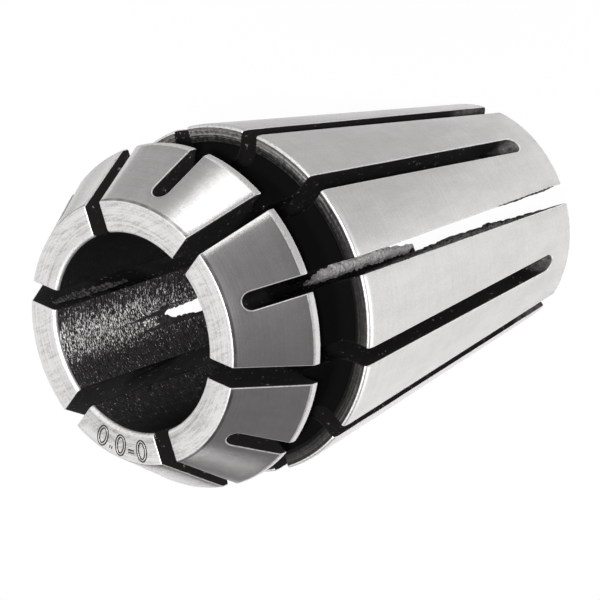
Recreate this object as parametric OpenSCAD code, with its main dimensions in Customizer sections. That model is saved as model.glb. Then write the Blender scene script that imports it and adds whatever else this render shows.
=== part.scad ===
// Spring collet: one slotted steel sleeve that closes on a round shank.
// The origin is the centre of the rear face, and +Z runs along the axis to the nose.
// +X runs through the middle of a sector, halfway between two neighbouring slots.

/* [Body] */
// Length over both end faces
length = 18; // [16:0.25:19]
// Largest diameter, at the front of the long taper
body_d = 11.5; // [11.2:0.1:13]
// Half-angle of the long taper that seats in the holder
body_angle = 8; // [6:0.5:8.5]
// Length of the cylindrical land in front of the long taper
land_l = 0.26; // [0.1:0.02:0.8]

/* [Nose] */
// Diameter of the flat front face
face_d = 8.52; // [7.6:0.02:9.4]
// Half-angle of the nose cone that the clamping nut presses on
nose_angle = 30; // [27:0.5:36]
// Diameter of the rim behind the nose cone
rim_d = 11.24; // [10.6:0.02:11.4]
// Length from the front face to the groove
nose_l = 2.64; // [2.5:0.02:3.2]

/* [Extraction groove] */
// Diameter of the groove's floor
groove_d = 9.5; // [9:0.1:10.2]
// Width of the groove along the axis
groove_w = 2.2; // [1.6:0.05:2.6]
// Radius of the tool in the corners of the groove's floor
groove_corner_r = 0.4; // [0.1:0.05:0.45]

/* [Bore] */
// Diameter of the gripping bore, with no shank in it
bore_d = 6.5; // [5:0.1:6.8]

/* [Slots] */
// Number of slots cut from each end
slots_per_end = 6; // [3:1:8]
// Thickness of the saw blade, which is the width of a slot at its closed end
slot_w = 0.58; // [0.4:0.01:0.65]
// How much wider a slot is at its open end, because the sectors are set outward
slot_spread = 0.09; // [0.02:0.01:0.2]
// Length left uncut at the rear by the slots from the nose
rear_bridge = 1.22; // [0.8:0.02:3]
// Length left uncut at the nose by the slots from the rear
nose_bridge = 0.5; // [0.4:0.05:1.5]
// Diameter of the saw blade, which leaves a curved run-out at the end of each slot
blade_d = 30; // [20:1:40]
// How far the blade reaches past the wall into the bore, for the slots from the nose
nose_reach = 3; // [1:0.05:3.2]
// The same for the slots from the rear, which only just break through
rear_reach = 0.35; // [0.33:0.01:1.5]

/* [Broken edges] */
// Leg of the chamfer at both mouths of the bore
bore_break = 0.11; // [0.02:0.01:0.2]
// Leg of the chamfer round the rear face
rear_break = 0.15; // [0.02:0.01:0.2]
// Leg of the chamfer round the front face
face_break = 0.05; // [0.02:0.01:0.15]
// Leg of the chamfers at both edges of the groove
groove_break = 0.06; // [0.02:0.01:0.15]

/* [Hidden] */
$fn = 96;

bore_r = bore_d / 2;
body_r = body_d / 2;
face_r = face_d / 2;
rim_r = rim_d / 2;
groove_r = groove_d / 2;
blade_r = blade_d / 2;

// Heights over the rear face
groove_top = length - nose_l;
groove_low = groove_top - groove_w;
taper_top = groove_low - land_l;

rear_r = body_r - taper_top * tan(body_angle);
cone_foot = length - (rim_r - face_r) / tan(nose_angle);
// Angle between two slots of the same end
slot_pitch = 360 / slots_per_end;
// What a cutting shape runs past the skin that it opens
past = 1;
// Radius of the blade's full-round edge
edge_r = slot_w / 2;

// Radius of the long taper and of the nose cone at height z
function taper_r(z) = rear_r + z * tan(body_angle);
function cone_r(z) = face_r + (length - z) * tan(nose_angle);

// Square that takes a 45 degree chamfer off a corner of the section
module corner_break(r, z, leg) {
    translate([r, z])
        rotate(45)
            square(leg * sqrt(2), center = true);
}

// Groove with a flat floor and the tool's radius in its two corners
module groove_section() {
    out = body_r + past;
    corner = groove_r + groove_corner_r;
    translate([corner, groove_low])
        square([out - corner, groove_w]);
    translate([groove_r, groove_low + groove_corner_r])
        square([out - groove_r, groove_w - 2 * groove_corner_r]);
    for (z = [groove_low + groove_corner_r, groove_top - groove_corner_r])
        translate([corner, z])
            circle(groove_corner_r);
    corner_break(body_r, groove_low, groove_break);
    corner_break(rim_r, groove_top, groove_break);
}

// Half-section of the sleeve before it is slotted: radius across, height up
module sleeve_section() {
    difference() {
        polygon([
            [bore_r, bore_break],
            [bore_r + bore_break, 0],
            [rear_r - rear_break, 0],
            [taper_r(rear_break), rear_break],
            [body_r, taper_top],
            [body_r, groove_low + groove_w / 2],
            [rim_r, groove_low + groove_w / 2],
            [rim_r, cone_foot],
            [cone_r(length - face_break), length - face_break],
            [face_r - face_break, length],
            [bore_r + bore_break, length],
            [bore_r, length - bore_break]
        ]);
        groove_section();
    }
}

// Distance of the blade's centre from the collet's axis
function blade_x(reach) = bore_r - reach + blade_r;

// Half the chord of the blade at radius r of the sleeve
function half_chord(r, reach) = sqrt(pow(blade_r, 2) - pow(blade_x(reach) - r, 2));

// Saw blade with a full-round edge, lying in the plane of a slot
module blade(reach, z) {
    translate([blade_x(reach), 0, z])
        rotate([90, 0, 0])
            rotate_extrude() {
                translate([0, -edge_r])
                    square([blade_r - edge_r, slot_w]);
                intersection() {
                    translate([blade_r - edge_r, 0])
                        circle(edge_r);
                    translate([blade_r - edge_r, -slot_w])
                        square([slot_w, 2 * slot_w]);
                }
            }
}

// Path of a blade that enters at the end at height z0 and stops with its centre at z1
module saw_pass(reach, z0, z1) {
    floor_x = blade_x(reach) - blade_r + edge_r;
    way = sign(z0 - z1);
    open_w = slot_w + slot_spread * (1 + past / abs(z0 - z1));
    blade(reach, z1);
    translate([floor_x, 0, z1])
        rotate([90, 0, 90])
            linear_extrude(body_r + past - floor_x)
                polygon([
                    [-edge_r, 0],
                    [edge_r, 0],
                    [open_w / 2, z0 + way * past - z1],
                    [-open_w / 2, z0 + way * past - z1]
                ]);
}

// Slot that is open at the nose and ends in the long taper
module nose_slot() {
    stop = rear_bridge + half_chord(taper_r(rear_bridge), nose_reach);
    saw_pass(nose_reach, length, stop);
}

// Slot that is open at the rear and ends in the nose cone
module rear_slot() {
    end = length - nose_bridge;
    stop = end - half_chord(cone_r(end), rear_reach);
    saw_pass(rear_reach, 0, stop);
}

module collet() {
    color("silver")
        difference() {
            rotate_extrude()
                sleeve_section();
            for (i = [0:slots_per_end - 1]) {
                rotate([0, 0, (i + 0.25) * slot_pitch])
                    nose_slot();
                rotate([0, 0, (i - 0.25) * slot_pitch])
                    rear_slot();
            }
        }
}

collet();
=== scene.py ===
"""Looks of a slotted spring collet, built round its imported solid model.

Sizes are in millimetres and angles in degrees, unless a name says otherwise.
Meshes are turned to metres when they are made.
"""

import logging
import math
import random
from dataclasses import dataclass, field, replace
from enum import Enum
from typing import Any, Sequence

import bmesh
import bpy
import numpy as np
from mathutils import Matrix, Vector


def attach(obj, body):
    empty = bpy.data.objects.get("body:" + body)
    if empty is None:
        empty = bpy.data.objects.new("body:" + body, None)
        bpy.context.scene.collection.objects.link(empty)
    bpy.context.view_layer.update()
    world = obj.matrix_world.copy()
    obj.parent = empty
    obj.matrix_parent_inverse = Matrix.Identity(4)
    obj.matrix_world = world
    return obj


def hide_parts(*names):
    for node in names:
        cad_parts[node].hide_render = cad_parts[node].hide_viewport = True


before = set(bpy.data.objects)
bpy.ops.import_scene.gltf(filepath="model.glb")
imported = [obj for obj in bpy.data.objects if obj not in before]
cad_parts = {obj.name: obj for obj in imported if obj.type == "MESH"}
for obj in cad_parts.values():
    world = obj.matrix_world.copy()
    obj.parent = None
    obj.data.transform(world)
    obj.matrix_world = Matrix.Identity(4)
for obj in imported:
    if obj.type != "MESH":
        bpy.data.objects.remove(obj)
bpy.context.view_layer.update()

MM = 0.001
BODY = "root"
NODE = "collet"

# Height of the collet's middle, which the lamps point at
MIDDLE_Z = 9.0
# Bend from which a corner of the section counts as an edge, in radians
SHARP_BEND = 0.3
# Strips across a corner that is no edge
SOFT_STEPS = 2
# Shares of the blade's round edge that still count as a slot's tip and as cut
TIP_SHARE = 1e-5
SKIN_SHARE = 1e-6
# Points that are closer than this are one point
WELD = 1e-4
# Places along a line of the section at which a slot's end is looked for
SAMPLES = 20001
# Room for a slot's rounded edge past its tip and before its full width, in radii of that edge
PAST_TIP = 2.4
PAST_FLAT = 2

log = logging.getLogger("collet")

Colour = tuple[float, float, float]
Pair = tuple[float, float]


class Skin(Enum):
    """Finishes of the collet's surfaces, in the order of the mesh's material slots."""

    CONE = 0
    FACE = 1
    GROOVE = 2
    BORE = 3
    SAWN = 4
    EDGE = 5


def direction(azimuth: float, elevation: float) -> Vector:
    """Unit vector from the collet towards a place round it."""
    turn, rise = math.radians(azimuth), math.radians(elevation)
    return Vector((math.cos(turn) * math.cos(rise), math.sin(turn) * math.cos(rise), math.sin(rise)))


def turned(places: np.ndarray, angle: float) -> np.ndarray:
    """Turns places about the collet's axis.

    Args:
        places: The places, with their three values last.
        angle: The angle in radians.

    Returns:
        The turned places.
    """
    c, s = math.cos(angle), math.sin(angle)
    x, y, z = places[..., 0], places[..., 1], places[..., 2]
    return np.stack([x * c - y * s, x * s + y * c, z], -1)


def placed(name: str, data: bpy.types.ID) -> bpy.types.Object:
    """Makes an object and puts it in the scene.

    Args:
        name: The object's name.
        data: Its mesh, lamp or camera.

    Returns:
        The object.
    """
    thing = bpy.data.objects.new(name, data)
    bpy.context.scene.collection.objects.link(thing)
    return thing


def write_outward(shape: bmesh.types.BMesh, mesh: bpy.types.Mesh) -> None:
    """Turns all faces outward and writes the shape to its mesh.

    Args:
        shape: The shape, which is freed.
        mesh: The mesh that takes it.
    """
    bmesh.ops.recalc_face_normals(shape, faces=shape.faces)
    shape.to_mesh(mesh)
    shape.free()


class Wire:
    """One output of a shader node, on which Python's operators add Math nodes."""

    def __init__(self, graph: "Graph", socket: bpy.types.NodeSocket) -> None:
        """Keeps the socket and the graph that it belongs to."""
        self.graph = graph
        self.socket = socket

    def _math(self, operation: str, *values: Any) -> "Wire":
        """Adds one Math node.

        Args:
            operation: The node's operation.
            values: Its inputs, wires or numbers.

        Returns:
            The node's result.
        """
        return self.graph.add("ShaderNodeMath", {"operation": operation}, dict(enumerate(values)))

    def __add__(self, other: Any) -> "Wire":
        """Sum."""
        return self._math("ADD", self, other)

    __radd__ = __add__

    def __sub__(self, other: Any) -> "Wire":
        """Difference."""
        return self._math("SUBTRACT", self, other)

    def __rsub__(self, other: Any) -> "Wire":
        """Difference, with the wire taken away."""
        return self._math("SUBTRACT", other, self)

    def __mul__(self, other: Any) -> "Wire":
        """Product."""
        return self._math("MULTIPLY", self, other)

    __rmul__ = __mul__

    def power(self, exponent: float) -> "Wire":
        """The value raised to an exponent."""
        return self._math("POWER", self, exponent)

    def length_with(self, other: "Wire") -> "Wire":
        """Root of the sum of both squares."""
        return (self * self + other * other).power(0.5)

    def ramp(self, low: float, high: float, start: float = 0.0, end: float = 1.0,
             kind: str = "SMOOTHSTEP") -> "Wire":
        """A clamped step.

        Args:
            low: The value at which the step begins.
            high: The value at which it ends.
            start: The result below low.
            end: The result above high.
            kind: The shape of the step.

        Returns:
            The stepped value.
        """
        settings = {"interpolation_type": kind}
        values = {"Value": self, "From Min": low, "From Max": high, "To Min": start, "To Max": end}
        return self.graph.add("ShaderNodeMapRange", settings, values)

    def within(self, rise: Pair, fall: Pair) -> "Wire":
        """1 between a step up and a step down, 0 outside them."""
        return self.ramp(*rise) * (1 - self.ramp(*fall))


class Graph:
    """The node tree of one material or of the world."""

    def __init__(self, tree: bpy.types.NodeTree) -> None:
        """Empties the tree."""
        self.tree = tree
        tree.nodes.clear()

    def add(self, kind: str, settings: dict[str, Any] | None = None, values: dict[Any, Any] | None = None,
            output: int | str = 0) -> Wire:
        """Adds a node.

        Args:
            kind: The node's type.
            settings: Its properties, which are set first.
            values: Numbers, colours or wires for its inputs, by name or place.
            output: The output to return.

        Returns:
            The output as a wire.
        """
        node = self.tree.nodes.new(kind)
        for name, value in (settings or {}).items():
            setattr(node, name, value)
        for name, value in (values or {}).items():
            if isinstance(value, Wire):
                self.tree.links.new(value.socket, node.inputs[name])
            else:
                node.inputs[name].default_value = value
        return Wire(self, node.outputs[output]) if node.outputs else Wire(self, None)

    def shown(self) -> tuple[Wire, Wire]:
        """Whether the camera sees a point directly, and whether mirrored or through glass.

        Returns:
            Two wires, each 1 or 0.
        """
        seen = self.add("ShaderNodeLightPath", output="Is Camera Ray")
        outputs = seen.socket.node.outputs
        return seen, Wire(self, outputs["Is Glossy Ray"]) + Wire(self, outputs["Is Transmission Ray"])

    def place(self) -> tuple[Wire, Wire, Wire]:
        """The surface point in the collet's own frame.

        Returns:
            Its three values, in millimetres.
        """
        point = self.add("ShaderNodeTexCoord", output="Object")
        scaled = self.add("ShaderNodeVectorMath", {"operation": "SCALE"}, {0: point, "Scale": 1 / MM})
        split = self.add("ShaderNodeSeparateXYZ", values={0: scaled})
        node = split.socket.node
        return split, Wire(self, node.outputs[1]), Wire(self, node.outputs[2])

    def noise(self, at: Sequence[Any], scale: float, detail: float = 2.0, roughness: float = 0.5) -> Wire:
        """Noise at a place.

        Args:
            at: The place's three values.
            scale: Number of waves to a unit of the place.
            detail: Number of finer layers.
            roughness: Strength of the finer layers.

        Returns:
            The noise, from 0 to 1.
        """
        place = self.add("ShaderNodeCombineXYZ", values=dict(enumerate(at)))
        values = {"Vector": place, "Scale": scale, "Detail": detail, "Roughness": roughness}
        return self.add("ShaderNodeTexNoise", values=values)

    def tint(self, factor: Wire, low: Colour | Wire, high: Colour | Wire) -> Wire:
        """A mix of two colours."""
        ends = [end if isinstance(end, Wire) else (*end, 1) for end in (low, high)]
        return self.add("ShaderNodeMix", {"data_type": "RGBA"}, {0: factor, 6: ends[0], 7: ends[1]}, 2)

    def bump(self, height: Wire, depth: float) -> Wire:
        """A normal from a height of so many millimetres."""
        return self.add("ShaderNodeBump", values={"Height": height, "Distance": depth * MM, "Strength": 1.0})


@dataclass(frozen=True)
class Finish:
    """What all the collet's finishes share."""

    name: str
    colour: Colour = (0.7, 0.7, 0.7)
    roughness: float = 0.3
    metallic: float = 1.0
    specular: float = 0.5

    def build(self) -> bpy.types.Material:
        """Makes the material.

        Returns:
            The material.
        """
        material = bpy.data.materials.new(self.name)
        material.use_nodes = True
        graph = Graph(material.node_tree)
        graph.add("ShaderNodeOutputMaterial", values={"Surface": self.surface(graph)})
        return material

    def surface(self, graph: Graph) -> Wire:
        """The whole shader.

        Args:
            graph: The material's nodes.

        Returns:
            A metal or black surface with the finish's own pattern in it.
        """
        values = {"Base Color": (*self.colour, 1), "Roughness": self.roughness, "Metallic": self.metallic,
                  "Specular IOR Level": self.specular}
        values.update(self.pattern(graph))
        return graph.add("ShaderNodeBsdfPrincipled", values=values)

    def pattern(self, graph: Graph) -> dict[str, Any]:
        """The shader inputs that change over the surface."""
        return {}


@dataclass(frozen=True)
class GroundCone(Finish):
    """Ground steel with faint rings round the axis, a mottled sheen, a dark line of painted shade next to the
    face and a painted highlight on the land.
    """

    name: str = "ground_cone"
    colour: Colour = (0.7, 0.687, 0.68)
    dull: Colour = (0.52, 0.508, 0.502)
    # Painted highlight on the land, on the side of negative y only
    land: Colour = (0.98, 0.97, 0.965)
    # Painted shade: a thin dark line at the top of the cone, next to the face
    edge_shade: Colour = (0.16, 0.155, 0.15)
    roughness: float = 0.24
    edge_shade_z: tuple[Pair, Pair] = ((17.84, 17.9), (17.94, 17.97))
    land_highlight_z: tuple[Pair, Pair] = ((12.85, 13.05), (13.3, 13.5))
    land_highlight_side: Pair = (4.2, 5.7)

    def pattern(self, graph: Graph) -> dict[str, Any]:
        """Rings, streaks, a faint mottle, fine grain and specks, with painted shade next to the face and a
        painted highlight on the land.

        Args:
            graph: The material's nodes.

        Returns:
            The shader inputs that change over the surface.
        """
        x, y, z = graph.place()
        rings = graph.noise((x * 0.25, y * 0.25, z * 18), 1.0, 3, 0.7)
        mottle = graph.noise((x, y, z * 0.6), 1.3, 3, 0.55)
        grain = graph.noise((x, y, z), 26, 2, 0.7)
        specks = graph.noise((x, y, z), 9, 3, 0.7).ramp(0.66, 0.74)
        # Painted shade just below the face's edge, a little patchy
        line = z.within(*self.edge_shade_z) * mottle.ramp(0.3, 0.6, 0.35, 0.85)
        height = rings * 0.5 + grain * 0.5
        streaks = graph.noise((x * 2.2, y * 2.2, z * 0.35), 1.0, 4, 0.65)
        dull = mottle.ramp(0.3, 0.7) * 0.2 + rings.ramp(0.3, 0.7) * 0.25 + grain.ramp(0.3, 0.7) * 0.5
        dull = dull + streaks.ramp(0.35, 0.65) * 0.2 + specks * 0.5
        # Painted highlight: the land is lighter on the side of negative y only
        bright = z.within(*self.land_highlight_z) * (y * -1).ramp(*self.land_highlight_side)
        ground = graph.tint(line, graph.tint(dull, self.colour, self.dull), self.edge_shade)
        return {
            "Base Color": graph.tint(bright, ground, self.land),
            "Roughness": mottle * 0.08 + grain * 0.1 + (self.roughness - 0.09),
            "Normal": graph.bump(height, 0.004),
        }


@dataclass(frozen=True)
class Speckled(Finish):
    """Metal with one grain that makes both its spots and its bumps."""

    dull: Colour = (0.55, 0.54, 0.53)
    across: float = 12.0
    along: float = 12.0
    rough: float = 0.7
    spots: Pair = (0.5, 0.68)
    depth: float = 0.006

    def pattern(self, graph: Graph) -> dict[str, Any]:
        """Dull spots and bumps of the same grain.

        Args:
            graph: The material's nodes.

        Returns:
            The shader inputs that change over the surface.
        """
        x, y, z = graph.place()
        grain = graph.noise((x * self.across, y * self.across, z * self.along), 1.0, 3, self.rough)
        return {
            "Base Color": graph.tint(grain.ramp(*self.spots), self.colour, self.dull),
            "Normal": graph.bump(grain, self.depth),
        }


# Broken edges and the two narrow bands at the groove
WORN_EDGE = Speckled("worn_edge", (0.8, 0.79, 0.785), 0.5)
# Bottom of the stamped figures, dark as painted shade in the strokes
STAMPED_SHADE = Speckled("stamped_mark_shade", (0.1, 0.097, 0.095), 0.5, dull=(0.03, 0.029, 0.028), across=6.0,
                   along=6.0, rough=0.6, spots=(0.4, 0.62), depth=0.02)
# Torn metal: bare, dark and black; the black pieces also stand as painted shade in the gaps and cracks they
# fill
TORN = Speckled("torn_burr", (0.95, 0.93, 0.92), 0.45, 0.1, dull=(0.3, 0.29, 0.285), across=10.0,
                along=7.0, spots=(0.55, 0.72), depth=0.05)
DARK = replace(TORN, name="dark_burr", colour=(0.07, 0.068, 0.066), dull=(0.004, 0.004, 0.004),
               metallic=0.0, specular=0.1, spots=(0.42, 0.6))
BLACK_SHADE = replace(DARK, name="black_burr_shade", colour=(0.03, 0.029, 0.028), dull=(0.006, 0.006, 0.006),
                spots=TORN.spots)


@dataclass(frozen=True)
class TurnedFace(Finish):
    """Turned end face, pale, with fine arcs and a few scratches across them."""

    name: str = "turned_face"
    colour: Colour = (0.86, 0.845, 0.84)
    dull: Colour = (0.4, 0.39, 0.38)
    roughness: float = 0.38
    dull_r: Pair = (3.35, 4.05)
    dull_x: Pair = (0.8, 3.0)

    def pattern(self, graph: Graph) -> dict[str, Any]:
        """Arcs round the axis, scratches across them and a duller ring next to the bore.

        Args:
            graph: The material's nodes.

        Returns:
            The shader inputs that change over the surface.
        """
        x, y, z = graph.place()
        radius = x.length_with(y)
        arcs = graph.noise((radius * 13, x * 0.35, y * 0.35), 1.0, 3, 0.75)
        across = graph.noise((x * 8 + y * 3, y * 1.1 - x * 0.5, z), 1.0, 3, 0.7)
        patch = graph.noise((x, y, z), 0.9, 2, 0.5)
        grain = graph.noise((x, y, z), 17, 2, 0.7)
        mark = (arcs * 0.45 + across * 0.35 + grain * 0.2).ramp(0.45, 0.62)
        patchy = (x * -1).ramp(*self.dull_x) * 0.6 + patch.ramp(0.4, 0.65) * 0.4
        ring = radius.ramp(*self.dull_r, 1.0, 0.0) * patchy
        return {
            "Base Color": graph.tint(mark * 0.7 + ring * 0.5, self.colour, self.dull),
            "Roughness": arcs * 0.12 + (self.roughness - 0.06),
            "Normal": graph.bump(arcs * 0.5 + across * 0.3 + grain * 0.2, 0.006),
        }


@dataclass(frozen=True)
class OxideGroove(Finish):
    """Black oxide left in the turned groove, with wear on its ridges near the outer edge, painted lighter
    there and with painted glints mostly on one side.
    """

    name: str = "oxide_groove"
    colour: Colour = (0.004, 0.004, 0.004)
    # Bright rings where the ridges show wear, lit as painted glints
    lit_marks: Colour = (0.4, 0.39, 0.38)
    # Painted light on the groove's outer part
    lit_zone: Colour = (0.05, 0.048, 0.046)
    roughness: float = 0.5
    metallic: float = 0.0
    specular: float = 0.0
    # Where the painted light and the painted glints fall
    lit_outer_r: Pair = (5.15, 5.6)
    glint_side_x: Pair = (1.8, 4.0)

    def pattern(self, graph: Graph) -> dict[str, Any]:
        """Rings and flecks, lit only near the outer edges as painted light, with painted glints mostly on one
        side.

        Args:
            graph: The material's nodes.

        Returns:
            The shader inputs that change over the surface.
        """
        x, y, z = graph.place()
        radius = x.length_with(y)
        rings = graph.noise((radius * 17, z * 17, x * 0.4), 1.0, 2, 0.6)
        flecks = graph.noise((x, y, z), 8, 3, 0.75)
        # Painted light near the groove's outer edge; deeper in, it stays dark as painted shade
        outer = radius.ramp(*self.lit_outer_r)
        # Painted glints, mostly on the side of positive x
        glint_side = x.ramp(*self.glint_side_x, 0.1, 1.0)
        lit_marks = (rings * 0.6 + flecks * 0.4).ramp(0.46, 0.66) * outer * glint_side
        base = graph.tint(outer * (flecks * 0.8 + rings * 0.6), self.colour, self.lit_zone)
        return {
            "Base Color": graph.tint(lit_marks, base, self.lit_marks),
            "Metallic": lit_marks * 0.9,
            "Normal": graph.bump(rings * 0.7 + flecks * 0.3, 0.012),
        }


@dataclass(frozen=True)
class SawnSlot(Finish):
    """Walls left by the slitting saw, black with a few glints."""

    name: str = "sawn_slot"
    colour: Colour = (0.013, 0.0125, 0.012)
    glint: Colour = (0.5, 0.48, 0.46)
    lit: Colour = (0.12, 0.117, 0.115)
    # Painted shade on the walls inside the groove
    oxide: Colour = (0.003, 0.003, 0.003)
    roughness: float = 0.6
    metallic: float = 0.0
    specular: float = 0.03
    run_out_z: Pair = (1.4, 2.2)
    groove_z: tuple[Pair, Pair] = ((12.9, 13.5), (15.1, 15.6))
    groove_r: Pair = (5.1, 5.6)

    def pattern(self, graph: Graph) -> dict[str, Any]:
        """Feed marks and glints, with paler run-outs painted as lit and painted shade inside the groove.

        Args:
            graph: The material's nodes.

        Returns:
            The shader inputs that change over the surface.
        """
        x, y, z = graph.place()
        marks = graph.noise((x * 4, y * 4, z * 3), 1.0, 3, 0.7)
        spots = graph.noise((x, y, z), 12, 2, 0.6)
        ends = z.ramp(*self.run_out_z, 1.0, 0.0) * marks.ramp(0.2, 0.75)
        glints = (marks * 0.5 + spots * 0.5).ramp(0.6, 0.72)
        # Painted shade on the walls inside the groove, strongest deeper in
        deep_shade = z.within(*self.groove_z) * x.length_with(y).ramp(*self.groove_r, 1.0, 0.3)
        wall = graph.tint(ends, graph.tint(deep_shade, self.colour, self.oxide), self.lit)
        return {
            "Base Color": graph.tint(glints, wall, self.glint),
            "Metallic": glints * 0.5,
            "Normal": graph.bump(marks * 0.5 + spots * 0.5, 0.02),
        }


@dataclass(frozen=True)
class BoredWall(Finish):
    """Bore with rough grain, black oxide and a painted highlight zone on one side, of grey streaks and
    glints.

    The zone's places count from the axis, along the direction towards it and across that direction.
    """

    name: str = "bored_wall"
    colour: Colour = (0.007, 0.007, 0.007)
    # Grey of the grain's streaks in the painted highlight
    lit_streak: Colour = (0.1, 0.096, 0.093)
    glint: Colour = (0.98, 0.96, 0.95)
    roughness: float = 0.42
    metallic: float = 0.0
    specular: float = 0.05
    # Where the painted highlight lies: its direction, its reach along and across it, its brightest strip and
    # its rise towards the mouth
    towards: Pair = (-0.259, 0.966)
    inside: Pair = (0.4, 2.9)
    border: Pair = (-1.75, -1.5)
    highlight_band_start: Pair = (-1.5, -0.4)
    highlight_band_end: Pair = (0.0, 0.8)
    highlight_band_z: Pair = (9.0, 16.0)

    def pattern(self, graph: Graph) -> dict[str, Any]:
        """Grains drawn out along the feed, with grey streaks and glints painted as a highlight on one side,
        stronger towards the mouth.

        Args:
            graph: The material's nodes.

        Returns:
            The shader inputs that change over the surface.
        """
        x, y, z = graph.place()
        grain = graph.noise((x * 6, y * 6, z * 22), 1.0, 3, 0.75)
        fine = graph.noise((x * 10, y * 10, z * 28), 1.0, 2, 0.7)
        across = x * -self.towards[1] + y * self.towards[0]
        along = x * self.towards[0] + y * self.towards[1]
        # Painted highlight on the side that faces it, faint past one border as painted shade
        facing = along.ramp(*self.inside) * across.ramp(*self.border, 0.12, 1.0)
        # Its brightest strip, weaker deeper in the bore as painted shade
        highlight_band = across.ramp(*self.highlight_band_start, 0.2, 1.0) * across.ramp(*self.highlight_band_end, 1.0, 0.15)
        highlight_band = highlight_band * z.ramp(*self.highlight_band_z, 0.55, 1.0)
        lit_zone = facing * highlight_band
        # Grey streaks and glints of the grain, strong only in the painted highlight
        lit_marks = grain.ramp(0.36, 0.66) * (lit_zone * 0.65 + facing * 0.35)
        glints = (fine * 0.7 + grain * 0.3 + lit_zone * 0.13).ramp(0.635, 0.69) * facing
        return {
            "Base Color": graph.tint(glints, graph.tint(lit_marks, self.colour, self.lit_streak), self.glint),
            "Metallic": glints * 0.4,
            "Roughness": fine * 0.3 + (self.roughness - 0.15),
            "Normal": graph.bump(grain * 0.6 + fine * 0.4, 0.09),
        }


@dataclass(frozen=True)
class Floor(Finish):
    """White table, grey towards positive x as a painted shadow of the collet that the steel mirrors, white to
    the camera, where it keeps the object's shadow.
    """

    name: str = "studio_floor"
    colour: Colour = (0.7, 0.7, 0.7)
    # Painted shadow of the collet, seen mostly in the steel's reflections
    grey: Colour = (0.44, 0.44, 0.44)
    lift: float = 0.97
    steel_lift: float = 0.05
    painted_shadow_x: Pair = (0.5, 9.0)
    fade: Pair = (10.0, 22.0)

    def surface(self, graph: Graph) -> Wire:
        """The whole shader.

        Args:
            graph: The material's nodes.

        Returns:
            A diffuse surface, mixed with white light in what is seen directly or mirrored.
        """
        x, y, _ = graph.place()
        white = graph.add("ShaderNodeBsdfDiffuse", values={"Color": (*self.colour, 1)})
        grey = graph.add("ShaderNodeBsdfDiffuse", values={"Color": (*self.grey, 1)})
        # Painted shadow: the table turns grey towards positive x
        table = graph.add("ShaderNodeMixShader", values={0: x.ramp(*self.painted_shadow_x), 1: white, 2: grey})
        glow = graph.add("ShaderNodeEmission", values={"Color": (1, 1, 1, 1), "Strength": 1.0})
        direct, mirrored = graph.shown()
        far = x.length_with(y).ramp(*self.fade, self.lift, 1.0)
        share = direct * far + mirrored * self.steel_lift
        return graph.add("ShaderNodeMixShader", values={0: share, 1: table, 2: glow})


@dataclass
class SawSlot:
    """The path of a slitting saw in the plane of one slot: radius across, height up."""

    stop: float
    feed: int
    blade_x: float
    open_z: float
    width: float = 0.58
    spread: float = 0.09
    blade_r: float = 15.0

    @property
    def edge_r(self) -> float:
        """Radius of the blade's full-round edge."""
        return self.width / 2

    def past_flat(self, r: float | np.ndarray, z: float | np.ndarray) -> Any:
        """How far a point lies past the blade's flat sides, as a share of its round edge.

        Args:
            r: Radius of the point.
            z: Height of the point.

        Returns:
            Less than 0 in the full width, 1 at the blade's rim and more outside it.
        """
        reach = np.hypot(self.blade_x - r, z - self.stop)
        share = (reach - (self.blade_r - self.edge_r)) / self.edge_r
        return np.where((z - self.stop) * self.feed >= 0, -1.0, share)

    def rim_angle(self, r: float, z: float) -> float | None:
        """Angle across the blade's round edge at a point of the skin.

        Args:
            r: Radius of the point.
            z: Height of the point.

        Returns:
            90 degrees where the slot has its full width, 0 at its tip, in radians, or None outside it.
        """
        share = float(self.past_flat(r, z))
        if share > 1 + SKIN_SHARE:
            return None
        if share > 1 - TIP_SHARE:
            return 0.0
        return math.acos(max(share, 0.0))

    def border(self, r: float, z: float, angle: float, side: int) -> tuple[np.ndarray, np.ndarray]:
        """The slot's edge on the skin.

        Args:
            r: Radius of the skin.
            z: Height of the skin.
            angle: The angle across the blade's edge.
            side: 1 or -1, for the wall on that side of the slot's plane.

        Returns:
            The edge's point and the wall's normal there, towards the open slot.
        """
        half = self.edge_r * math.sin(angle)
        half += self.spread / 2 * max(0.0, (z - self.stop) / (self.open_z - self.stop))
        point = np.array([math.sqrt(r * r - half * half), side * half, z])
        out = np.array([r - self.blade_x, 0, z - self.stop])
        out /= np.linalg.norm(out)
        normal = -(math.cos(angle) * out + math.sin(angle) * np.array([0, side, 0]))
        return point, normal

    def run_out(self, start: np.ndarray, end: np.ndarray, angle: float, side: int,
                steps: int) -> list[np.ndarray]:
        """Points of the blade's run-out between its ends on the outer skin and in the bore.

        Args:
            start: Point near the outer skin.
            end: Point near the bore.
            angle: The angle across the blade's edge.
            side: 1 or -1, for the wall on that side.
            steps: Number of steps.

        Returns:
            The points between both ends.
        """
        reach = self.blade_r - self.edge_r + self.edge_r * math.cos(angle)
        turn = [math.atan2(p[2] - self.stop, p[0] - self.blade_x) % (2 * math.pi) for p in (start, end)]
        points = []
        for share in np.linspace(0, 1, steps + 1)[1:-1]:
            at = turn[0] + (turn[1] - turn[0]) * share
            x = self.blade_x + reach * math.cos(at)
            z = self.stop + reach * math.sin(at)
            points.append(np.array([x, side * self.edge_r * math.sin(angle), z]))
        return points


@dataclass
class Row:
    """One ring of the skin: a place on the half-section, its direction and the finish of the next strip."""

    r: float
    z: float
    along: Pair
    skin: Skin


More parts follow.
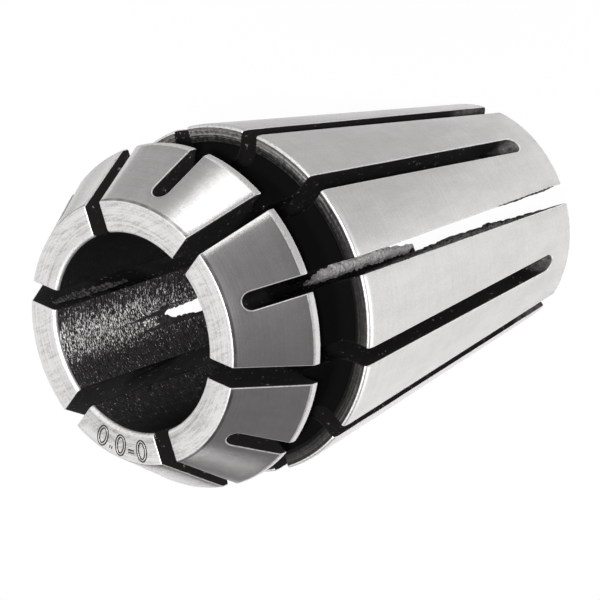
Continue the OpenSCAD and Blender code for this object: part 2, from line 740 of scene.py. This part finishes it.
@dataclass
class SleeveSection:
    """Half-section of the sleeve, as a closed line of corners.

    The edge radii and the numbers of strips belong to the corners and to the lines that follow them.
    """

    length: float = 18.0
    body_r: float = 5.75
    body_angle: float = 8.0
    land: float = 0.26
    face_r: float = 4.26
    nose_angle: float = 30.0
    rim_r: float = 5.62
    nose: float = 2.64
    groove_r: float = 4.75
    groove_w: float = 2.2
    bore_r: float = 3.25
    rear_bridge: float = 1.22
    nose_bridge: float = 0.5
    nose_reach: float = 3.0
    rear_reach: float = 0.35
    face_drop: float = 0.012
    ridge_pitch: float = 0.11
    ridge_depth: float = 0.022
    ridge_rise: float = 20.0
    edges: tuple[float, ...] = (0.13, 0.14, 0.3, 0.08, 0.38, 0.38, 0.07, 0.2, 0.05, 0.13)
    strips: tuple[int, ...] = (4, 18, 2, 30, 5, 4, 2, 6, 6, 22)

    def corners(self) -> list[tuple[float, float, float, Skin, int]]:
        """The section's corners.

        Returns:
            Radius, height, edge radius, finish of the line that follows and that line's number of strips.
        """
        groove_top = self.length - self.nose
        groove_low = groove_top - self.groove_w
        taper_top = groove_low - self.land
        rear_r = self.body_r - taper_top * math.tan(math.radians(self.body_angle))
        cone_foot = self.length - (self.rim_r - self.face_r) / math.tan(math.radians(self.nose_angle))
        face_z = self.length - self.face_drop
        places = [
            (self.bore_r, 0, Skin.FACE),
            (rear_r, 0, Skin.CONE),
            (self.body_r, taper_top, Skin.CONE),
            (self.body_r, groove_low, Skin.GROOVE),
            (self.groove_r, groove_low, Skin.GROOVE),
            (self.groove_r, groove_top, Skin.GROOVE),
            (self.rim_r, groove_top, Skin.CONE),
            (self.rim_r, cone_foot, Skin.CONE),
            (self.face_r, face_z, Skin.FACE),
            (self.bore_r, face_z, Skin.BORE),
        ]
        table = zip(places, self.edges, self.strips)
        return [(r, z, edge, skin, strips) for (r, z, skin), edge, strips in table]

    def slots(self) -> tuple[SawSlot, SawSlot]:
        """The slots of both ends.

        Returns:
            The slot from the nose and the slot from the rear.
        """
        rear_r = self.corners()[1][0]
        nose_end = (rear_r + self.rear_bridge * math.tan(math.radians(self.body_angle)), self.rear_bridge)
        cone = self.nose_bridge * math.tan(math.radians(self.nose_angle))
        rear_end = (self.face_r + cone, self.length - self.nose_bridge)
        made = []
        for (r, z), feed, reach, open_z in ((nose_end, 1, self.nose_reach, self.length),
                                            (rear_end, -1, self.rear_reach, 0.0)):
            slot = SawSlot(0, feed, 0, open_z)
            slot.blade_x = self.bore_r - reach + slot.blade_r
            slot.stop = z + feed * math.sqrt(slot.blade_r ** 2 - (slot.blade_x - r) ** 2)
            made.append(slot)
        return made[0], made[1]

    def rows(self, edge: float, arc_steps: int, tip_steps: int) -> list[Row]:
        """The skin's rings, once round the section, with rings of their own for the slots' tips.

        Args:
            edge: Radius of the slots' rounded edges.
            arc_steps: Strips across a rounded corner.
            tip_steps: Rings from a slot's tip to its full width.

        Returns:
            The rings in order, from the rear face up the outside and down the bore.
        """
        corners = self.corners()
        count = len(corners)
        spot = [np.array(c[:2], float) for c in corners]
        cuts = []
        for i in range(count):
            back = spot[i - 1] - spot[i]
            ahead = spot[(i + 1) % count] - spot[i]
            back /= np.linalg.norm(back)
            ahead /= np.linalg.norm(ahead)
            half = math.acos(float(np.clip(back @ ahead, -1, 1))) / 2
            cuts.append((corners[i][2] / math.tan(half), back, ahead, half))
        rows = []
        for i in range(count):
            radius, skin, strips = corners[i][2:]
            cut, back, ahead, half = cuts[i]
            centre = spot[i] + (back + ahead) / np.linalg.norm(back + ahead) * radius / math.sin(half)
            first = spot[i] + back * cut - centre
            last = spot[i] + ahead * cut - centre
            bend = math.pi - 2 * half
            turn = math.copysign(bend, first[0] * last[1] - first[1] * last[0])
            arc_skin = Skin.EDGE if turn > 0 and bend > SHARP_BEND else skin
            steps = arc_steps if bend > SHARP_BEND else SOFT_STEPS
            for k in range(steps):
                a = turn * k / steps
                arm = np.array([first[0] * math.cos(a) - first[1] * math.sin(a),
                                first[0] * math.sin(a) + first[1] * math.cos(a)])
                tangent = np.array([-arm[1], arm[0]]) * math.copysign(1 / radius, turn)
                rows.append(Row(*(centre + arm), tuple(tangent), arc_skin))
            start = spot[i] + ahead * cut
            end = spot[(i + 1) % count] - ahead * cuts[(i + 1) % count][0]
            shares = self._line_shares(start, end, strips, edge, tip_steps)
            ridged = skin is Skin.GROOVE and spot[i][0] > spot[(i + 1) % count][0]
            for share in shares[:-1]:
                r, z = start + (end - start) * share
                along = tuple(ahead)
                if ridged:
                    wave = 2 * math.pi * (self.body_r - r) / self.ridge_pitch
                    z -= self.ridge_depth * (0.5 - 0.5 * math.cos(wave)) * min(share * self.ridge_rise, 1)
                    slope = self.ridge_depth * math.pi / self.ridge_pitch * math.sin(wave)
                    along = tuple(np.array([-1, -slope]) / math.hypot(1, slope))
                rows.append(Row(r, z, along, skin))
        return rows

    def _line_shares(self, start: np.ndarray, end: np.ndarray, strips: int, edge: float,
                     tip_steps: int) -> list[float]:
        """Places of the rings along one straight line of the section.

        Args:
            start: The line's first point.
            end: Its last point.
            strips: Number of even strips.
            edge: Radius of the slots' rounded edges.
            tip_steps: Rings from a slot's tip to its full width.

        Returns:
            Shares of the line from 0 to 1.
        """
        shares = np.linspace(0, 1, strips + 1)
        length = float(np.linalg.norm(end - start))
        dense = np.linspace(0, 1, SAMPLES)
        points = start + (end - start) * dense[:, None]
        for slot in self.slots():
            past = slot.past_flat(points[:, 0], points[:, 1])
            if not (past.min() < 0 and past.max() > 1):
                continue
            order = np.argsort(past)
            near = (past[order] > -0.5) & (past[order] < 1.5)
            wanted = np.cos(np.linspace(0, math.pi / 2, tip_steps + 1))
            tips = np.interp(wanted, past[order][near], dense[order][near])
            outward = math.copysign(1, tips[0] - tips[-1])
            beyond = tips[0] + outward * edge * PAST_TIP / length
            before = tips[-1] - outward * edge * PAST_FLAT / length
            low, high = sorted((before, beyond))
            gap = PAST_FLAT * edge / length
            keep = shares[(shares < low - gap) | (shares > high + gap)]
            shares = np.sort(np.concatenate([keep, tips, [beyond, before]]))
        return list(shares)


@dataclass
class Sleeve:
    """The collet's one solid, with rounded slot edges, as a mesh of twelve mirrored wedges."""

    section: SleeveSection = field(default_factory=SleeveSection)
    slots_per_end: int = 6
    phase: float = 15.0
    edge: float = 0.032
    edge_steps: int = 3
    columns: int = 8
    arc_steps: int = 4
    tip_steps: int = 7
    run_steps: int = 6
    settle: int = 4

    def __post_init__(self) -> None:
        """Works out the slots and the skin's rings."""
        self.nose_slot, self.rear_slot = self.section.slots()
        self.rows = self.section.rows(self.edge, self.arc_steps, self.tip_steps)
        self.points: list[np.ndarray] = []
        self.faces: list[tuple[list[int], Skin]] = []

    @property
    def wedge(self) -> float:
        """Angle of one wedge, from the middle of a slot to the middle of the next, in radians."""
        return math.pi / self.slots_per_end

    def _point(self, place: np.ndarray) -> int:
        """Keeps a point and gives its index."""
        self.points.append(place)
        return len(self.points) - 1

    def _strip(self, low: list[int], high: list[int], skin: Skin) -> None:
        """Adds the faces between two lines of points."""
        for k in range(len(low) - 1):
            self.faces.append(([low[k], low[k + 1], high[k + 1], high[k]], skin))

    def _edge_points(self, row: Row, slot: SawSlot, side: int) -> list[np.ndarray] | None:
        """Rounded edge of a slot at one ring.

        Args:
            row: The ring.
            slot: The slot.
            side: The wall's side of the slot's plane.

        Returns:
            Points from the skin to the wall in the slot's own frame, or None where the ring isn't cut.
        """
        angle = slot.rim_angle(row.r, row.z)
        if angle is None:
            return None
        at, wall = slot.border(row.r, row.z, angle, side)
        turn = math.atan2(at[1], at[0])
        out = np.array([row.along[1] * math.cos(turn), row.along[1] * math.sin(turn), -row.along[0]])
        over_skin = -wall + (wall @ out) * out
        down_wall = -out + (wall @ out) * wall
        over_skin /= np.linalg.norm(over_skin)
        down_wall /= np.linalg.norm(down_wall)
        points = []
        for a in np.linspace(0, math.pi / 2, self.edge_steps + 1):
            points.append(at + self.edge * ((1 - math.sin(a)) * over_skin + (1 - math.cos(a)) * down_wall))
        return points

    def _ring(self, row: Row) -> tuple[list[int], list[int], list[int]]:
        """Points of one ring of the wedge.

        Args:
            row: The ring.

        Returns:
            Indices of the nose slot's edge, of the skin and of the rear slot's edge, each from the skin down.
        """
        left = self._edge_points(row, self.nose_slot, 1)
        right = self._edge_points(row, self.rear_slot, -1)
        right = [turned(p, self.wedge) for p in right] if right else None
        ends = []
        for edge, plain in ((left, 0.0), (right, self.wedge)):
            if edge is None:
                ends.append((plain, 0.0))
                continue
            turn = math.atan2(edge[0][1], edge[0][0])
            shift = np.array([math.hypot(*edge[0][:2]) - row.r, edge[0][2] - row.z]) @ np.array(row.along)
            ends.append((turn, float(shift)))
        (turn_0, shift_0), (turn_1, shift_1) = ends
        skin = []
        for u in np.linspace(0, 1, self.columns + 1):
            turn = turn_0 + (turn_1 - turn_0) * u
            shift = shift_0 * (1 - u) ** self.settle + shift_1 * u ** self.settle
            r = row.r + shift * row.along[0]
            place = np.array([r * math.cos(turn), r * math.sin(turn), row.z + shift * row.along[1]])
            skin.append(self._point(place))
        left_edge = [skin[0]] + [self._point(p) for p in left[1:]] if left else []
        right_edge = [skin[-1]] + [self._point(p) for p in right[1:]] if right else []
        return left_edge, skin, right_edge

    def _fill_slot(self, edges: list[list[int]], slot: SawSlot, side: int, turn: float) -> None:
        """Adds one wall of a slot and its half of the run-out.

        Args:
            edges: The slot's edge points at each ring, empty where the ring isn't cut.
            slot: The slot.
            side: The wall's side of the slot's plane.
            turn: Angle of the slot's plane in the wedge, in radians.
        """
        count = len(edges)
        cut = [bool(e) for e in edges]
        first = next(i for i in range(count) if cut[i] and not cut[i - 1])
        span = [(first + k) % count for k in range(sum(cut))]
        rim = [edges[i][-1] for i in span]
        steps = self.tip_steps
        lines = []
        for k in range(steps + 1):
            angle = math.pi / 2 * k / steps
            start, end = self.points[rim[k]], self.points[rim[-1 - k]]
            ends = [turned(p, -turn) for p in (start, end)]
            inner = slot.run_out(ends[0], ends[1], angle, side, self.run_steps)
            made = [self._point(turned(p, turn)) for p in inner]
            lines.append([rim[k], *made, rim[-1 - k]])
        for low, high in zip(lines, lines[1:]):
            self._strip(low, high, Skin.SAWN)
        wall = rim[steps:len(rim) - steps] + lines[-1][-2:0:-1]
        self.faces.append((wall, Skin.SAWN))

    def build_wedge(self) -> None:
        """Makes the points and faces of one wedge."""
        rings = [self._ring(row) for row in self.rows]
        for row, ring, after in zip(self.rows, rings, rings[1:] + rings[:1]):
            self._strip(ring[1], after[1], row.skin)
            edge_skin = Skin.SAWN if row.skin in (Skin.BORE, Skin.GROOVE) else Skin.EDGE
            for part in (0, 2):
                if ring[part] and after[part]:
                    self._strip(ring[part], after[part], edge_skin)
        self._fill_slot([ring[0] for ring in rings], self.nose_slot, 1, 0.0)
        self._fill_slot([ring[2] for ring in rings], self.rear_slot, -1, self.wedge)

    def build(self, finishes: dict[Skin, bpy.types.Material]) -> bpy.types.Object:
        """Makes the whole sleeve.

        Args:
            finishes: The material of each finish.

        Returns:
            The sleeve's object.
        """
        self.build_wedge()
        wedge = np.array(self.points)
        points, faces, skins = [], [], []
        for i in range(self.slots_per_end):
            base = math.radians(self.phase) + 2 * math.pi * i / self.slots_per_end
            for mirror in (1, -1):
                start = len(points)
                points.extend(turned(wedge * np.array([1, mirror, 1]), base) * MM)
                for face, skin in self.faces:
                    loop = [start + v for v in face]
                    faces.append(loop if mirror > 0 else loop[::-1])
                    skins.append(skin.value)
        mesh = bpy.data.meshes.new("collet_sleeve")
        mesh.from_pydata([tuple(p) for p in points], [], faces)
        mesh.polygons.foreach_set("material_index", skins)
        for skin in Skin:
            mesh.materials.append(finishes[skin])
        shape = bmesh.new()
        shape.from_mesh(mesh)
        bmesh.ops.remove_doubles(shape, verts=shape.verts, dist=WELD * MM)
        walls = [face for face in shape.faces if len(face.verts) > 4]
        bmesh.ops.triangulate(shape, faces=walls, ngon_method="EAR_CLIP")
        for face in shape.faces:
            face.smooth = True
        write_outward(shape, mesh)
        sleeve = placed("collet_sleeve", mesh)
        even = sleeve.modifiers.new("even_normals", "WEIGHTED_NORMAL")
        even.weight = 100
        even.keep_sharp = True
        return sleeve


def closed_bar(name: str, rings: Sequence[Sequence[np.ndarray]], looped: bool,
               finish: bpy.types.Material) -> bpy.types.Object:
    """Makes a closed mesh from rings of points that follow each other.

    Args:
        name: The object's name.
        rings: The rings, each with the same number of points, in millimetres.
        looped: True if the last ring joins the first, False for a bar with two ends.
        finish: The bar's material.

    Returns:
        The bar's object.
    """
    count = len(rings)
    size = len(rings[0])
    points = [tuple(point * MM) for ring in rings for point in ring]
    faces = []
    for i in range(count if looped else count - 1):
        low, high = i * size, (i + 1) % count * size
        for k in range(size):
            after = (k + 1) % size
            faces.append((low + k, low + after, high + after, high + k))
    if not looped:
        faces.append(tuple(range(size)))
        faces.append(tuple(range((count - 1) * size, count * size))[::-1])
    mesh = bpy.data.meshes.new(name)
    mesh.from_pydata(points, [], faces)
    mesh.materials.append(finish)
    shape = bmesh.new()
    shape.from_mesh(mesh)
    write_outward(shape, mesh)
    return placed(name, mesh)


# Section of a burr: shares of its width and depth, from the ragged side to the wall
BURR_SECTION = ((0, 0.6), (0.25, 0.1), (0.5, 0), (0.75, 0.1), (1, 0.6), (1, 1), (0.5, 1), (0, 1))


@dataclass
class Burr:
    """A ragged strip of torn metal along the slots in one plane through the axis.

    Each station of its spine is a height, two places across the slots and two along the plane's radius.
    """

    name: str
    spine: Sequence[tuple[float, float, float, float, float]]
    ragged: float = 0.03
    step: float = 0.06
    seed: int = 1
    azimuth: float = 105.0
    smooth_end: float = 0.3

    def build(self, finish: bpy.types.Material) -> bpy.types.Object:
        """Makes the burr.

        Args:
            finish: Its material.

        Returns:
            The burr's object, a closed mesh.
        """
        chance = random.Random(self.seed)
        turn = math.radians(self.azimuth)
        along = np.array([math.cos(turn), math.sin(turn), 0])
        across = np.array([-math.sin(turn), math.cos(turn), 0])
        table = np.array(sorted(self.spine))
        heights = np.arange(table[0, 0], table[-1, 0], self.step)
        rings = []
        for z in heights:
            low, high, inner, outer = (float(np.interp(z, table[:, 0], table[:, i])) for i in range(1, 5))
            from_end = min(z - heights[0], heights[-1] - z)
            rough = self.ragged * (min(1.0, from_end / self.smooth_end) * 0.9 + 0.1)
            low += chance.uniform(-1, 1) * rough
            high += chance.uniform(-1, 1) * rough
            ring = []
            for share, depth in BURR_SECTION:
                side = low + (high - low) * share
                out = inner + (outer - inner) * depth
                if depth < 1:
                    out += chance.uniform(-0.5, 0.5) * rough
                ring.append(along * out + across * side + np.array([0, 0, z]))
            rings.append(ring)
        return closed_bar(self.name, rings, False, finish)


# Burrs, a black plug of painted shade and ragged tips of the slots at azimuth 105, or 285 with negative
# radii; the streak is at 75
FAR_BURR = Burr("burr_far_slot", (
    (0.2, 0.34, 0.5, 3.1, 3.3), (0.5, 0.3, 0.58, 3.05, 3.3), (1.2, 0.24, 0.6, 3.0, 3.3),
    (2.0, 0.15, 0.58, 2.95, 3.3), (3.0, 0.1, 0.55, 2.95, 3.3), (4.5, 0.12, 0.57, 2.95, 3.3),
    (5.6, 0.3, 0.57, 3.0, 3.3), (6.2, 0.46, 0.53, 3.12, 3.3)), 0.05, 0.07, 3)
# A black block that fills the far slot: painted shade where its gap looks dark
FAR_PLUG = Burr("black_plug_far_slot", (
    (3.7, 0.24, 0.31, 3.5, 3.6), (4.0, 0.02, 0.33, 3.45, 3.6), (4.3, -0.1, 0.33, 3.4, 3.6),
    (4.5, -0.33, 0.33, 3.35, 3.6), (9.6, -0.33, 0.33, 3.35, 3.6), (9.8, -0.33, 0.2, 3.4, 3.6),
    (10.1, -0.33, -0.05, 3.4, 3.6), (10.5, -0.32, -0.25, 3.5, 3.6)), 0.035, 0.1, 4)
NEAR_BURR = Burr("burr_near_slot", (
    (1.4, 0.29, 0.35, -4.1, -3.9), (2.5, 0.25, 0.36, -4.27, -4.0), (4.0, 0.2, 0.36, -4.49, -4.2),
    (4.9, 0.11, 0.37, -4.63, -4.3), (5.5, 0.16, 0.37, -4.71, -4.4), (7.2, 0.12, 0.37, -4.95, -4.6),
    (9.5, 0.18, 0.36, -5.27, -4.9), (11.0, 0.23, 0.36, -5.48, -5.1), (12.7, 0.28, 0.34, -5.7, -5.4)),
    0.03, 0.08, 5)
UPPER_BURR = Burr("burr_upper_edge", (
    (0.6, -0.36, -0.32, -4.02, -3.9), (1.2, -0.37, -0.29, -4.11, -3.95), (3.0, -0.36, -0.28, -4.36, -4.2),
    (4.4, -0.34, -0.31, -4.55, -4.4)), 0.018, 0.08, 7)
TIP_FLAP = Burr("flap_slot_tip", (
    (13.05, -0.4, 0.1, 3.14, 3.3), (13.25, -0.4, 0.34, 3.12, 3.3), (13.7, -0.4, 0.34, 3.12, 3.3),
    (13.95, -0.38, 0.3, 3.14, 3.3), (14.1, -0.25, 0.1, 3.18, 3.3)), 0.05, 0.05, 11)
TIP_CRACK = Burr("crack_slot_tip", (
    (12.8, -0.36, -0.3, 3.07, 3.2), (13.0, -0.34, -0.16, 3.06, 3.2), (13.25, -0.3, -0.04, 3.06, 3.2),
    (13.5, -0.24, -0.06, 3.06, 3.2), (13.8, -0.22, -0.12, 3.06, 3.2), (14.1, -0.2, -0.1, 3.08, 3.2),
    (14.6, -0.14, -0.11, 3.12, 3.24)), 0.04, 0.05, 13)
TIP_EDGE = Burr("edge_slot_tip", (
    (12.6, 0.1, 0.3, 3.08, 3.3), (12.85, 0.0, 0.3, 3.06, 3.3), (13.05, -0.08, 0.3, 3.05, 3.3),
    (13.3, -0.12, 0.26, 3.05, 3.3), (13.5, -0.05, 0.14, 3.08, 3.3)), 0.05, 0.05, 29)
UPPER_STREAK = Burr("streak_upper_slot", (
    (14.2, 0.28, 0.36, 3.5, 3.62), (15.2, 0.23, 0.36, 3.42, 3.7), (16.6, 0.25, 0.37, 3.48, 3.78),
    (17.6, 0.3, 0.37, 3.6, 3.75)), 0.045, 0.06, 31, 75.0)
GAP_ABOVE = Burr("burr_gap_above", (
    (11.2, -0.36, -0.25, 3.14, 3.3), (12.2, -0.36, -0.2, 3.14, 3.3),
    (13.5, -0.36, -0.22, 3.14, 3.3)), 0.03, 0.06, 17)
GAP_BELOW = Burr("burr_gap_below", (
    (11.2, 0.22, 0.34, 3.12, 3.3), (12.3, 0.13, 0.3, 3.08, 3.3), (13.3, 0.1, 0.3, 3.08, 3.3),
    (14.2, 0.26, 0.31, 3.14, 3.3)), 0.045, 0.06, 19)


# Section of a stroke: shares of half its width and of its depth
STROKE_SECTION = ((-1, 1), (-1, 0.15), (-0.7, 0), (0.7, 0), (1, 0.15), (1, 1))


@dataclass
class SizeMark:
    """Plain figures stamped into the nose face, as thin inlaid strokes."""

    name: str = "figure"
    top: float = 17.999
    depth: float = 0.05
    width: float = 0.135
    middle: float = 3.83
    tall: float = 0.31
    wide: float = 0.17
    steps: int = 28
    noughts: tuple[float, ...] = (154.5, 166.0, 179.5)
    point: tuple[Pair, Pair] = ((4.0, 160.4), (4.1, 160.4))
    dash: tuple[Pair, Pair] = ((3.92, 171.0), (3.92, 174.6))

    def _stroke(self, name: str, line: Sequence[tuple[float, float]], looped: bool,
                finish: bpy.types.Material) -> bpy.types.Object:
        """Makes one stroke.

        Args:
            name: The stroke's name.
            line: Its places, each a radius and an azimuth in degrees.
            looped: True for a closed stroke.
            finish: Its material.

        Returns:
            The stroke's object.
        """
        flat = [np.array([r * math.cos(math.radians(a)), r * math.sin(math.radians(a))]) for r, a in line]
        rings = []
        for i, point in enumerate(flat):
            before = flat[i - 1] if looped or i else point
            after = flat[(i + 1) % len(flat)] if looped or i + 1 < len(flat) else point
            ahead = (after - before) / np.linalg.norm(after - before)
            side = np.array([-ahead[1], ahead[0]]) * self.width / 2
            ring = []
            for share, drop in STROKE_SECTION:
                ring.append(np.array([*(point + side * share), self.top - self.depth * drop]))
            rings.append(ring)
        return closed_bar(name, rings, looped, finish)

    def build(self, finish: bpy.types.Material) -> list[bpy.types.Object]:
        """Makes the figures: nought, point, nought, dash, nought.

        Args:
            finish: Their material.

        Returns:
            The strokes' objects.
        """
        strokes = []
        for index, azimuth in enumerate(self.noughts):
            line = []
            for k in range(self.steps):
                turn = 2 * math.pi * k / self.steps
                r = self.middle + self.tall * math.cos(turn)
                line.append((r, azimuth + math.degrees(self.wide * math.sin(turn) / r)))
            strokes.append(self._stroke(f"{self.name}_{index + 1}", line, True, finish))
        for part, line in (("point", self.point), ("dash", self.dash)):
            strokes.append(self._stroke(f"{self.name}_{part}", line, False, finish))
        return strokes


@dataclass
class Camera:
    """Camera at the photograph's place, fitted to the collet's rims and slots."""

    aim: tuple[float, float, float] = (0.138, -2.747, 12.912)
    azimuth: float = -71.617
    elevation: float = 47.237
    roll: float = -109.048
    distance: float = 133.0
    lens: float = 250.12

    def build(self) -> bpy.types.Object:
        """Makes the camera and shows the scene through it.

        Returns:
            The camera.
        """
        back = direction(self.azimuth, self.elevation)
        level = (-back).to_track_quat("-Z", "Y").to_matrix()
        data = bpy.data.cameras.new("camera")
        data.sensor_width = 36
        data.lens = self.lens
        data.clip_start = 0.01
        data.clip_end = 10
        camera = placed("camera", data)
        rolled = level @ Matrix.Rotation(math.radians(self.roll), 3, "Z")
        place = (Vector(self.aim) + back * self.distance) * MM
        camera.matrix_world = Matrix.Translation(place) @ rolled.to_4x4()
        bpy.context.scene.camera = camera
        return camera


@dataclass
class SoftBox:
    """A square lamp that points at the collet."""

    name: str
    azimuth: float
    elevation: float
    distance: float
    size: float
    power: float

    def build(self) -> bpy.types.Object:
        """Makes the lamp.

        Returns:
            The lamp.
        """
        out = direction(self.azimuth, self.elevation)
        data = bpy.data.lights.new(self.name, "AREA")
        data.size = self.size * MM
        data.energy = self.power
        lamp = placed(self.name, data)
        lamp.location = (out * self.distance + Vector((0, 0, MIDDLE_Z))) * MM
        lamp.rotation_mode = "QUATERNION"
        lamp.rotation_quaternion = (-out).to_track_quat("-Z", "Y")
        return lamp


@dataclass
class Room:
    """A plain room, bright overhead and behind the collet, grey towards the camera."""

    azimuth: float = 74.0
    elevation: float = 58.0
    dark: float = 0.2
    bright: float = 0.86
    turn: Pair = (-0.15, 0.7)

    def build(self) -> bpy.types.World:
        """Makes the world.

        Returns:
            The world, white where the camera sees it directly.
        """
        axis = direction(self.azimuth, self.elevation)
        world = bpy.data.worlds.new("studio")
        world.use_nodes = True
        graph = Graph(world.node_tree)
        ray = graph.add("ShaderNodeTexCoord", output="Generated")
        facing = graph.add("ShaderNodeVectorMath", {"operation": "DOT_PRODUCT"}, {0: ray, 1: axis}, "Value")
        tone = facing.ramp(*self.turn, self.dark, self.bright, "LINEAR")
        camera = graph.add("ShaderNodeLightPath", output="Is Camera Ray")
        strength = camera + (1 - camera) * tone
        glow = graph.add("ShaderNodeBackground", values={"Color": (1, 1, 1, 1), "Strength": strength})
        graph.add("ShaderNodeOutputWorld", values={"Surface": glow})
        return world


@dataclass
class Studio:
    """Table, lamps, room and camera."""

    floor_r: float = 34.0
    floor_sides: int = 96
    lamps: tuple[SoftBox, ...] = (
        SoftBox("key", -75.0, 52, 150, 12, 0.24),
        SoftBox("left", 168, -4, 100, 20, 0.0011),
        SoftBox("fill", -160, 55, 150, 70, 0.042),
        SoftBox("right", 66, -20, 100, 36, 0.0025),
        SoftBox("side", -13, 6, 110, 54, 0.0165),
    )

    def build(self) -> None:
        """Makes the studio and sets how it is shown."""
        mesh = bpy.data.meshes.new("floor")
        turns = [2 * math.pi * i / self.floor_sides for i in range(self.floor_sides)]
        rim = [(self.floor_r * MM * math.cos(a), self.floor_r * MM * math.sin(a), 0) for a in turns]
        mesh.from_pydata(rim, [], [tuple(range(self.floor_sides))])
        mesh.materials.append(Floor().build())
        floor = placed("floor", mesh)
        for lamp in self.lamps:
            lamp.build()
        bpy.context.scene.world = Room().build()
        bpy.context.scene.view_settings.view_transform = "Standard"
        Camera().build()


def main() -> None:
    """Builds the collet's looks and the studio."""
    logging.basicConfig(level=logging.INFO, format="%(name)s: %(message)s")
    Studio().build()
    finishes = {
        Skin.CONE: GroundCone().build(),
        Skin.FACE: TurnedFace().build(),
        Skin.GROOVE: OxideGroove().build(),
        Skin.BORE: BoredWall().build(),
        Skin.SAWN: SawnSlot().build(),
        Skin.EDGE: WORN_EDGE.build(),
    }
    sleeve = Sleeve().build(finishes)
    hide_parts(NODE)
    bore = finishes[Skin.BORE]
    torn, dark, black = TORN.build(), DARK.build(), BLACK_SHADE.build()
    pieces = [sleeve]
    # The black pieces are torn metal and also painted shade in the far slot and the slot tip's crack
    for burr, finish in ((FAR_BURR, torn), (FAR_PLUG, black), (NEAR_BURR, dark), (UPPER_BURR, dark),
                         (UPPER_STREAK, dark), (TIP_FLAP, bore), (TIP_CRACK, black), (TIP_EDGE, black),
                         (GAP_ABOVE, bore), (GAP_BELOW, black)):
        pieces.append(burr.build(finish))
    # Figures dark as painted shade in their strokes, then ridges in the face's finish
    pieces.extend(SizeMark(top=17.996).build(STAMPED_SHADE.build()))
    pieces.extend(SizeMark("ridge", 17.999, 0.02, 0.03).build(finishes[Skin.FACE]))
    for piece in pieces:
        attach(piece, BODY)
        log.info("%s: %d points, %d faces", piece.name, len(piece.data.vertices), len(piece.data.polygons))


if __name__ == "__main__":
    main()
